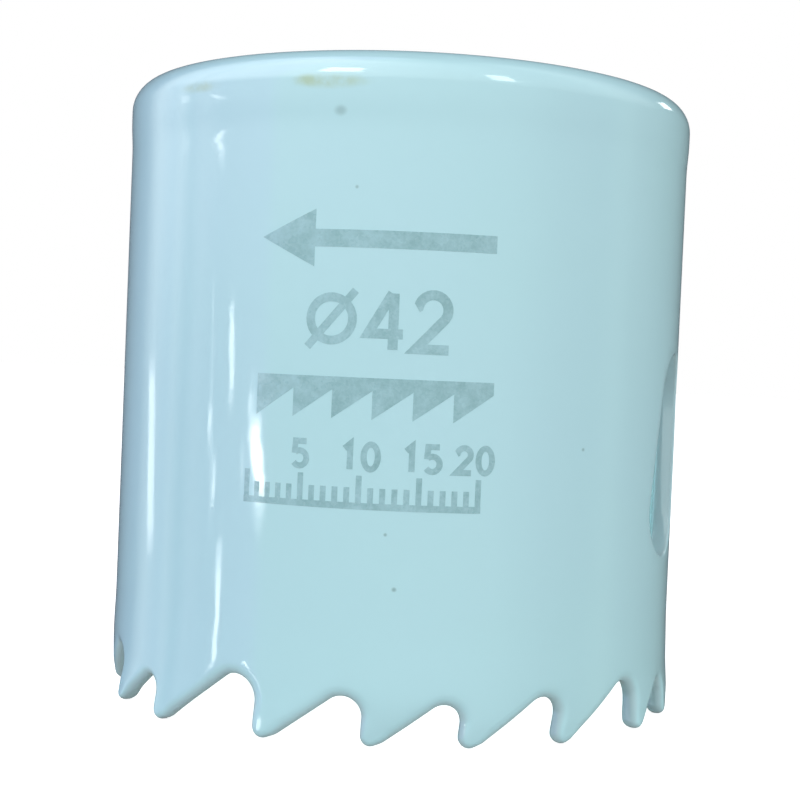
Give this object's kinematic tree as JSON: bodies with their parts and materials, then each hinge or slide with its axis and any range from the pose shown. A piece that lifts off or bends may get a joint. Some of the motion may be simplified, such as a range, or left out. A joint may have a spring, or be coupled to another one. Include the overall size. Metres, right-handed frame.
{
  "type": "hole saw",
  "caption": "Painted bi-metal hole saw cup with set teeth, slanted side slots and a threaded end plate.",
  "frame": {"origin": "on the axis of the cup, in the plane that the longest teeth touch", "axes": "+Z along the axis from the teeth to the end plate, +X through the middle of one side slot"},
  "size_m": [0.0417, 0.0414, 0.044],
  "materials": {
    "enamel": "glossy pale blue-green enamel with a slightly wavy surface",
    "enamelled_teeth": "the same enamel, pulled back a little darker along the edges"
  },
  "bodies": {
    "root": {"end_plate": "enamel", "cup_wall": "enamel", "tooth_tips": "enamelled_teeth"}
  },
  "joints": []
}
